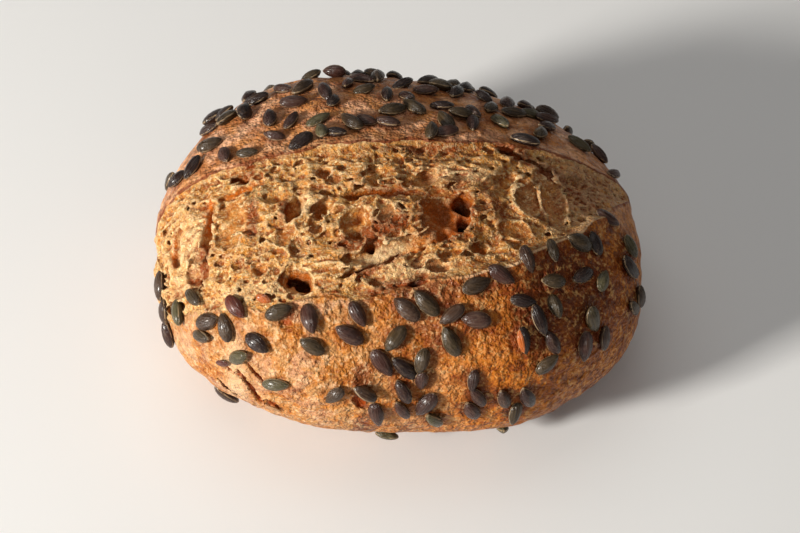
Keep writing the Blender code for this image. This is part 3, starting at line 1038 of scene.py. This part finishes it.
class Finish(Nodes):
    """A material under construction."""

    def __init__(self, name):
        self.material = bpy.data.materials.new(name)
        self.material.use_nodes = True
        super().__init__(self.material.node_tree)
        self.place = self.node("ShaderNodeTexCoord").outputs["Object"]

    def attribute(self, name, output="Fac"):
        return Value(self, self.node("ShaderNodeAttribute", attribute_name=name).outputs[output])

    def noise(self, size, detail, roughness, twist=0.0, shift=0.0, place=None):
        """Cloudy values of about 0.5, with lumps of that size, moved by shift so that patterns differ."""
        place = self.place if place is None else place
        moved = self.node("ShaderNodeVectorMath", {0: place, 1: (shift,) * 3}, operation="ADD")
        sockets = {"Vector": moved.outputs[0], "Scale": 1 / size, "Distortion": twist}
        sockets.update({"Detail": detail, "Roughness": roughness})
        return Value(self, self.node("ShaderNodeTexNoise", sockets).outputs["Fac"])

    def paint(self, colour, *layers):
        """The colour with others laid over it in turn, each given as its share and itself."""
        for share, tint in layers:
            node = self.node("ShaderNodeMix", {0: share, 6: colour, 7: tint}, data_type="RGBA")
            colour = node.outputs[2]
        return colour

    def bump(self, height, strength, distance):
        sockets = {"Height": height, "Strength": strength, "Distance": distance}
        return self.node("ShaderNodeBump", sockets).outputs["Normal"]

    def dress(self, looks):
        """Gives the shader its looks, and returns the finished material."""
        for name, value in looks.items():
            self.feed(self.tree.nodes["Principled BSDF"].inputs[name], value)
        return self.material


def crust_colours(finish, at):
    """The baked skin: golden and gritty in front, amber at the right, mauve and dusty over the back, with
    painted shade towards the right, round the seeds and in recesses, and painted highlights on its grains.
    """
    golden = screen(186, 134, 82)
    honey = screen(190, 116, 42)
    pink = screen(198, 150, 114)
    amber = screen(182, 100, 14)
    # russet: the crust's red-brown blotches and specks, and also its painted shade round the seeds and in
    # the hollows of its grains
    russet_and_shade = screen(112, 44, 12)
    scorched = screen(58, 20, 8)
    # flour: pale floury grains, and also the painted highlight on the tops of the crust's grains
    flour_and_highlight = screen(230, 192, 148)
    # glint: painted highlight on the crust's grains at the right
    glint = screen(222, 172, 108)
    mauve = screen(232, 176, 136)
    # rust: the red of the painted shade in the crust's cracks and dents
    rust = screen(146, 58, 12)
    patch = finish.noise(0.0150, 4, 0.62, 0.5, shift=1.9)
    # A third of this mottle is the bead noise that also raises the bump, so its tops get a painted highlight
    # and its hollows painted shade
    mottle_and_relief_shading = finish.noise(0.0036, 5, 0.66, 0.3, shift=3.4) * 0.65 + at.bead * 0.35
    # right and far: darker and more amber towards the crust's right end, partly its own deeper bake and
    # partly painted shade on the side turned from the key light; at the far right, painted dark and light
    # mottles stand in for the relief shading that the grazing light does not give
    right = (at.x + (at.cloud - 0.5) * 0.08).between(-0.040, 0.070)
    far = at.x.between(0.045, 0.085)
    pale_patch = patch.between(0.48, 0.60) + (1 - at.z.between(0.006, 0.026)) * 0.2
    dark_share = 0.36 + at.blotch.between(0.45, 0.62) * 0.40
    light_share = 0.60 - at.blotch.between(0.45, 0.62) * 0.25 - right * 0.15 + far * 0.15
    # near: painted shadow of the seeds on the crust within a few millimetres of each seed, deepest towards
    # the right where their shadows fall, partly a real darker ring round each seed
    near = 1 - (at.seed_near + (at.speck - 0.5) * 4).between(4.0, 9.0)
    scorch = (at.scorch * 1.2 + (patch - 0.5) * 2.4 + (at.speck - 0.5) * 1.6) * at.scorch
    lip = (1 - abs(at.edge + 0.2).between(0.2, 1.0)) * at.x.between(0.015, 0.045)
    front = finish.paint(
        golden,
        (at.blotch.between(0.38, 0.62), honey),
        (pale_patch * (1 - right) * 0.65, pink),
        # painted shade in part: the amber deepens towards the right
        (right * (0.70 + at.z.between(0.020, 0.060) * 0.15), amber),
        (at.blotch.between(0.52, 0.66) * (0.25 + right * 0.35), russet_and_shade),
        (at.speck.between(0.54, 0.64) * (0.35 + right * 0.25), russet_and_shade),
        # painted shade in part: red-brown in the hollows of the grains
        ((1 - mottle_and_relief_shading).between(0.50, 0.62) * dark_share, russet_and_shade),
        # painted seed shadows, red-brown and, towards the right, near black
        (near * (0.35 + right * 0.45), russet_and_shade),
        (near * right * patch.between(0.42, 0.56) * 0.55, scorched),
        # painted shade: dark mottles at the far right
        ((1 - mottle_and_relief_shading).between(0.47, 0.60) * far * 0.55, scorched),
        (scorch.between(0.10, 0.85) * 0.70, russet_and_shade),
        (scorch.between(0.60, 1.40) * 0.60, scorched),
        # painted highlight in part: pale on the tops of the grains, golden at the right
        (mottle_and_relief_shading.between(0.51, 0.62) * light_share, finish.paint(flour_and_highlight, (right, glint))),
        (at.pale * 0.6, flour_and_highlight),
        (lip * 0.7, flour_and_highlight),
    )
    back = finish.paint(
        mauve,
        (patch.between(0.42, 0.60) * 0.8, honey),
        (at.blotch.between(0.44, 0.62) * 0.55, russet_and_shade),
        (at.speck.between(0.52, 0.64) * 0.50, scorched),
        (at.grain.between(0.56, 0.70) * 0.45, pink),
        # painted shade round the seeds on the back crust
        (near * 0.50, russet_and_shade),
    )
    over_back = (at.y + (at.cloud - 0.5) * 0.05).between(-0.030, 0.030)
    rim = (1 - abs(at.edge + (at.speck - 0.5) * 4).between(0.4, 2.4)) * at.y.between(-0.02, 0.0)
    # painted shade: above its lowest few millimetres, the deeper the crust lies below its unbroken surface,
    # as in its cracks and dents, the darker it is painted, first red and then near black
    recess_shade = (at.depth + (at.speck - 0.5)) * at.z.between(0.003, 0.009)
    sole = 1 - (at.z + (at.blotch - 0.5) * 0.004).between(0.0005, 0.006)
    return finish.paint(
        front,
        (over_back * 0.95, back),
        (rim * 0.85, russet_and_shade),
        (recess_shade.between(0.6, 1.4) * 0.85, rust),
        (recess_shade.between(2.2, 4.0) * 0.90, scorched),
        (sole * (0.35 + at.blotch.between(0.42, 0.60) * 0.35), russet_and_shade),
        (sole * patch.between(0.50, 0.62) * 0.40, flour_and_highlight),
    )


def crumb_colours(finish, at):
    """The torn inside: straw and cream on the left, browner on the right, partly as painted shade, amber in
    its hollows, with painted shade in its pits, creases and depths and painted highlights on its ridges and
    glints.
    """
    cream = screen(234, 202, 154)
    # sparkle: the colour of the painted glints on the crumb
    sparkle = screen(252, 226, 170)
    straw = screen(200, 149, 86)
    tan = screen(196, 126, 46)
    skin = screen(172, 102, 40)
    # toasted: red-brown of the baked crumb, and also of the painted shade in its pits, creases and depths
    toasted = screen(126, 48, 2)
    scorched = screen(66, 20, 3)
    # ember: the crumb's amber, and also the painted glow of light through the crumb a few millimetres down
    # in its hollows
    ember = screen(206, 104, 12)
    # pit: painted shade at the bottom of the deepest hollows
    pit = screen(60, 22, 3)
    dusty = screen(198, 156, 118)
    strand = finish.noise(0.0042, 4, 0.66, 1.2, place=at.flow)
    # glitter: where the crumb gets painted glints
    glitter = finish.noise(0.0019, 3, 0.6, shift=5.1)
    # right: browner towards the crumb's right end, partly its own colour and partly painted shade on the
    # side turned from the key light
    right = (at.x + (at.cloud - 0.5) * 0.10).between(-0.070, 0.070)
    walls = at.hollow * (1 - at.pale) * strand.between(0.30, 0.60)
    plain = 1 - at.toast * 0.75
    # red-brown spots of the crumb, some of them painted shadows on hollow walls
    toast = (at.toast * 1.3 + (strand - 0.5) * 1.6 + (at.blotch - 0.5) * 0.8) * at.toast
    amber = (at.amber + (at.speck - 0.5) * 1.2) * at.amber
    # painted shade in the small bubbles of the crumb's cells
    pit_shade = at.pit.between(0.35, 0.90) * at.speck.between(0.38, 0.54)
    spots = at.speck.between(0.57, 0.65) * (0.40 + right * 0.25) * (1 - at.pale * 0.5)
    # raised: painted highlight, cream on the points that stand out from their neighbours; at the right some
    # of these ridges are scorched instead
    raised = at.bulge.between(0.015, 0.10) * (0.45 + at.hollow.between(0.05, 0.5) * 0.15) * plain
    burnt = right * at.blotch.between(0.44, 0.56) * (1 - at.hollow)
    # sunk: painted shade in the creases that dip below their neighbours
    sunk = (0 - at.bulge).between(0.015, 0.11)
    # depth: how far the crumb lies below the unbroken crust, for the painted shade in its hollows
    depth = at.depth + (at.blotch - 0.5) * 3 - at.pale * 4
    return finish.paint(
        straw,
        (strand.between(0.36, 0.62), tan),
        (right * 0.30, tan),
        (at.blotch.between(0.50, 0.66) * (0.20 + right * 0.45), toasted),
        (at.pale * (0.85 - at.blotch.between(0.42, 0.62) * 0.5), cream),
        (walls * 0.75, skin),
        (toast.between(0.05, 0.65) * 0.88, toasted),
        (amber.between(0.05, 0.60) * 0.85, ember),
        # painted shade in the cells' pits
        (pit_shade * 0.65, toasted),
        # painted glints
        (glitter.between(0.54, 0.66) * 0.65 * plain, sparkle),
        (at.x.between(0.055, 0.095) * strand.between(0.34, 0.56) * 0.7, dusty),
        (spots, toasted),
        # pale web lines, raised by the bump as well, partly a painted highlight on them
        (at.thread * (0.45 - at.hollow * 0.30) * plain, cream),
        (at.grain.between(0.58, 0.72) * plain * 0.40, cream),
        # painted highlight on the ridges, with real scorched tips at the right
        (raised, finish.paint(cream, (burnt, scorched))),
        # painted shade in the creases
        (sunk * 0.65, toasted),
        # painted shade with depth: an orange glow, then red-brown, then near black
        (depth.between(5.0, 8.5) * 0.45, ember),
        (depth.between(6.0, 10.0) * 0.60, toasted),
        (depth.between(8.5, 14.0) * 0.92, pit),
    )


def bread_finish():
    """Crust and crumb in one, told apart by the mesh's own numbers."""
    finish = Finish("baked_bread")
    names = ("crumb", "depth", "edge", "bulge", "seed_near", "pit", "hollow", *TINTS)
    at = SimpleNamespace(**{name: finish.attribute(name) for name in names})
    at.flow = finish.attribute("flow", "Vector")
    at.x, at.y, at.z = finish.parts(finish.place)
    fibre = finish.noise(0.0036, 3, 0.60, 1.2, place=at.flow)
    at.thread = 1 - abs(fibre - 0.5).between(0.0, 0.045)
    at.bead = finish.noise(0.0017, 1, 0.5, 0.4, shift=2.3)
    at.grain = finish.noise(0.0011, 1, 0.5)
    at.speck = finish.noise(0.0024, 2, 0.6, shift=0.3)
    at.blotch = finish.noise(0.0090, 4, 0.6, 0.4, shift=0.9)
    at.cloud = finish.noise(0.040, 3, 0.5, 0.2, shift=0.7)
    merge = (at.crumb + (at.speck - 0.5) * 0.9).between(0.35, 0.65)
    gloss = 0.46 - (at.speck - 0.5) * 0.8 - (at.grain - 0.5) * 0.4 - at.crumb * 0.06
    coarse = finish.noise(0.0048, 2, 0.5, shift=2.6)
    crusty = at.bead * 1.1 + coarse * 2.8 + at.grain * 0.3
    torn = (at.bead * 0.9 + at.grain * 0.4 + at.thread * 0.25) * (1 - at.hollow * 0.30)
    looks = {
        "Base Color": finish.paint(crust_colours(finish, at), (merge, crumb_colours(finish, at))),
        "Roughness": gloss.top(0.24),
        "Normal": finish.bump(crusty + (torn - crusty) * at.crumb, 1.0, 0.0012),
        "Specular IOR Level": 0.28,
        "Specular Tint": (1.0, 0.80, 0.58, 1),
        "Subsurface Weight": 0.10,
        "Subsurface Radius": (1.0, 0.38, 0.12),
        "Subsurface Scale": 0.0014,
    }
    return finish.dress(looks)


def seed_finish():
    """Toasted pumpkin seeds: from nearly black to olive, streaked lengthwise, with paler tips and a painted
    highlight along their rims.
    """
    finish = Finish("toasted_pumpkin_seed")
    tone = finish.attribute("tone")
    on_seed = finish.attribute("seed_place", "Vector")
    side, up, along = finish.parts(on_seed)
    drawn = finish.node("ShaderNodeVectorMath", {0: on_seed, 1: (1.0, 1.0, 0.22)}, operation="MULTIPLY")
    sockets = {0: finish.place, 1: (25, 25, 25), 2: drawn.outputs[0]}
    wander = finish.node("ShaderNodeVectorMath", sockets, operation="MULTIPLY_ADD")
    streak = finish.noise(0.13, 3, 0.62, place=wander.outputs[0])
    bloom = finish.noise(0.0050, 2, 0.5, shift=0.4)
    coal = screen(34, 18, 14)
    bronze = screen(66, 38, 30)
    olive = screen(60, 46, 26)
    sage = screen(84, 78, 52)
    dusty = screen(122, 98, 76)
    # pale: the seeds' paler tips, and the painted highlight along their rims
    pale = screen(180, 152, 116)
    husk = screen(88, 34, 20)
    straw = screen(190, 140, 94)
    orange = screen(182, 92, 30)
    # rim: the seed's edge, where a pale line is painted as a highlight
    rim = 1 - abs(up).between(0.02, 0.12)
    colour = finish.paint(
        coal,
        (tone.between(0.20, 0.50), bronze),
        (tone.between(0.55, 0.75), olive),
        (tone.between(0.86, 0.96) * 0.9, sage),
        (tone.between(1.05, 1.15), husk),
        (tone.between(1.35, 1.45), straw),
        (tone.between(1.65, 1.75), orange),
        (tone.between(1.92, 1.97) * (side + streak * 0.10).between(-0.22, -0.16), coal),
        (streak.between(0.50, 0.68) * 0.26, dusty),
        ((0 - streak).between(-0.44, -0.32) * 0.5, coal),
        (bloom.between(0.50, 0.70) * 0.45, coal),
        # painted highlight along the rim
        (rim * streak.between(0.40, 0.54) * 0.75, pale),
        (along.between(0.44, 0.49) * 0.5, pale),
    )
    looks = {
        "Base Color": colour,
        "Roughness": 0.13 + streak * 0.32,
        "Normal": finish.bump(streak + bloom * 0.4, 0.9, 0.0011),
        "Specular IOR Level": 0.34,
        "Coat Weight": 0.20,
        "Coat Roughness": 0.16,
    }
    return finish.dress(looks)


# Pumpkin seeds, by a tree of geometry nodes


class Tree(Nodes):
    """A tree of geometry nodes under construction, with its named inputs."""

    def __init__(self, name):
        super().__init__(bpy.data.node_groups.new(name, "GeometryNodeTree"))
        self.inlet = self.node("NodeGroupInput")
        self.outlet = self.node("NodeGroupOutput")
        self.identifiers = {}
        for side in ("INPUT", "OUTPUT"):
            self.add_socket("Geometry", side, "NodeSocketGeometry")

    def add_socket(self, name, side, kind):
        return self.tree.interface.new_socket(name=name, in_out=side, socket_type=kind).identifier

    def size(self, name):
        """A named number that the modifier sets."""
        self.identifiers[name] = self.add_socket(name, "INPUT", "NodeSocketFloat")
        return Value(self, self.inlet.outputs[name])

    def run_on(self, obj, sizes):
        modifier = obj.modifiers.new(self.tree.name, "NODES")
        modifier.node_group = self.tree
        for name, value in sizes.items():
            modifier[self.identifiers[name]] = value
        make_mesh_final(obj)


def seed_tree(material):
    """Puts a flat, pointed seed on every point of the mesh, turned and sized by the point's own numbers."""
    tree = Tree("pumpkin_seeds")
    length, width, thickness = (tree.size(name) for name in ("Length", "Width", "Thickness"))
    ball = tree.node("GeometryNodeMeshUVSphere", {"Segments": 12, "Rings": 8, "Radius": 0.5})
    position = tree.node("GeometryNodeInputPosition").outputs[0]
    side, up, along = tree.parts(position)
    # towards its tip, at 0.5 along, a seed draws in to a point
    left = (1 - along * along * 4).top(0.001)
    slim = left ** (along * 0.24 + 0.16) * (0.98 - along * 0.30)
    thick = (1 - side * side * 1.1 + 0.16 / (side * side * 90 + 1)) * left**0.10
    sizes = {0: along * length, 1: side * slim * width, 2: up * thick * thickness}
    shaped = tree.node("ShaderNodeCombineXYZ", sizes)
    marks = {"Geometry": ball.outputs["Mesh"], "Name": "seed_place", "Value": position}
    marked = tree.node("GeometryNodeStoreNamedAttribute", marks, data_type="FLOAT_VECTOR", domain="POINT")
    placed = {"Geometry": marked.outputs["Geometry"], "Position": shaped.outputs[0]}
    seed = tree.node("GeometryNodeSetPosition", placed)
    lay = {"Points": tree.inlet.outputs["Geometry"], "Instance": seed.outputs[0]}
    for name, socket in (("turn", "Rotation"), ("grown", "Scale")):
        own = tree.node("GeometryNodeInputNamedAttribute", {"Name": name}, data_type="FLOAT_VECTOR")
        lay[socket] = own.outputs["Attribute"]
    many = tree.node("GeometryNodeInstanceOnPoints", lay)
    real = tree.node("GeometryNodeRealizeInstances", {"Geometry": many.outputs[0]})
    smooth = tree.node("GeometryNodeSetShadeSmooth", {"Geometry": real.outputs[0], "Shade Smooth": True})
    dressed = tree.node("GeometryNodeSetMaterial", {"Geometry": smooth.outputs[0], "Material": material})
    tree.feed(tree.outlet.inputs[0], dressed.outputs[0])
    return tree


def lay_seeds(seeds, material):
    """All the seeds as one piece, with the husks as seeds that lie flat on the front crust."""
    draw = random.Random(SEED_DRAW + 1)
    husks = [(*on_crust(x, z, turn), 0.12, 0.15, 0.85, 0) for x, z, turn, _ in HUSKS]
    points, turns, sizes, tones = [], [], [], []
    for place, normal, way, tip, roll, size, lift in seeds + husks:
        upright = Matrix([way, np.cross(normal, way), normal]).transposed()
        lie = Matrix.Rotation(tip, 3, "Y") @ Matrix.Rotation(roll, 3, "X")
        rise = SEED_RISE + lift + 0.25 * SEED_WIDTH * abs(math.sin(roll))
        points.append(Vector(place + CORE) + Vector(normal) * rise)
        turns.append(tuple((upright @ lie).to_euler()))
        sizes.append([size * draw.uniform(0.92, 1.08) for _ in range(3)])
        tones.append(draw.random())
    tones[SPLIT_SEED] = 2.0
    tones[BROKEN_SEED] = HUSKS[0][3]
    for number, (_, _, _, tone) in enumerate(HUSKS, len(seeds)):
        tones[number] = tone
        sizes[number] = [0.6, 0.6, 0.3]
    mesh = bpy.data.meshes.new("pumpkin_seeds")
    mesh.from_pydata(points, [], [])
    for name, rows in (("turn", turns), ("grown", sizes), ("tone", tones)):
        store(mesh, name, rows)
    obj = add_object("pumpkin_seeds", mesh)
    sizes = {"Length": SEED_LENGTH, "Width": SEED_WIDTH, "Thickness": SEED_THICKNESS * 1.1}
    seed_tree(material).run_on(obj, sizes)
    return obj


# The studio


def set_studio():
    """The camera, the floor and the lights."""
    scene = bpy.context.scene
    camera = add_object("camera", bpy.data.cameras.new("camera"))
    camera.data.sensor_width = 36
    camera.data.lens = 90
    camera.data.clip_start = 0.01
    aim = CORE + np.array([0.0030, 0, -0.0059])
    camera.location = aim + np.array([0, -math.cos(VIEW_TILT), math.sin(VIEW_TILT)])
    camera.rotation_euler = (math.pi / 2 - VIEW_TILT, 0, 0)
    scene.camera = camera

    floor = add_object("floor", bpy.data.meshes.new("floor"))
    corners = [(x * FLOOR_REACH, y * FLOOR_REACH, 0) for x, y in ((-1, -1), (1, -1), (1, 1), (-1, 1))]
    floor.data.from_pydata(corners, [], [(0, 1, 2, 3)])
    paper = {"Base Color": (0.86, 0.86, 0.86, 1), "Roughness": 0.9}
    floor.data.materials.append(Finish("pale_floor").dress(paper))

    for name, (place, size, power, tint) in LAMPS.items():
        lamp = add_object(name, bpy.data.lights.new(name, "AREA"))
        lamp.data.size = size
        lamp.data.energy = power
        lamp.data.color = tint
        lamp.location = place
        lamp.rotation_euler = (Vector(place) - Vector((0, 0, 0.05))).to_track_quat("Z", "Y").to_euler()
    scene.world = bpy.data.worlds.new("studio")
    scene.world.use_nodes = True
    sky = scene.world.node_tree.nodes["Background"].inputs
    sky["Color"].default_value = (1, 1, 1, 1)
    sky["Strength"].default_value = 0.13
    scene.view_settings.view_transform = "Standard"


def main():
    set_studio()
    crust = CrustTable()
    seeds = seed_places()
    loaf = bake_loaf(crust, seeds)
    loaf.data.materials.append(bread_finish())
    scattered = lay_seeds(seeds, seed_finish())
    for piece in (loaf, scattered):
        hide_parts("loaf")
        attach(piece, "root")


main()
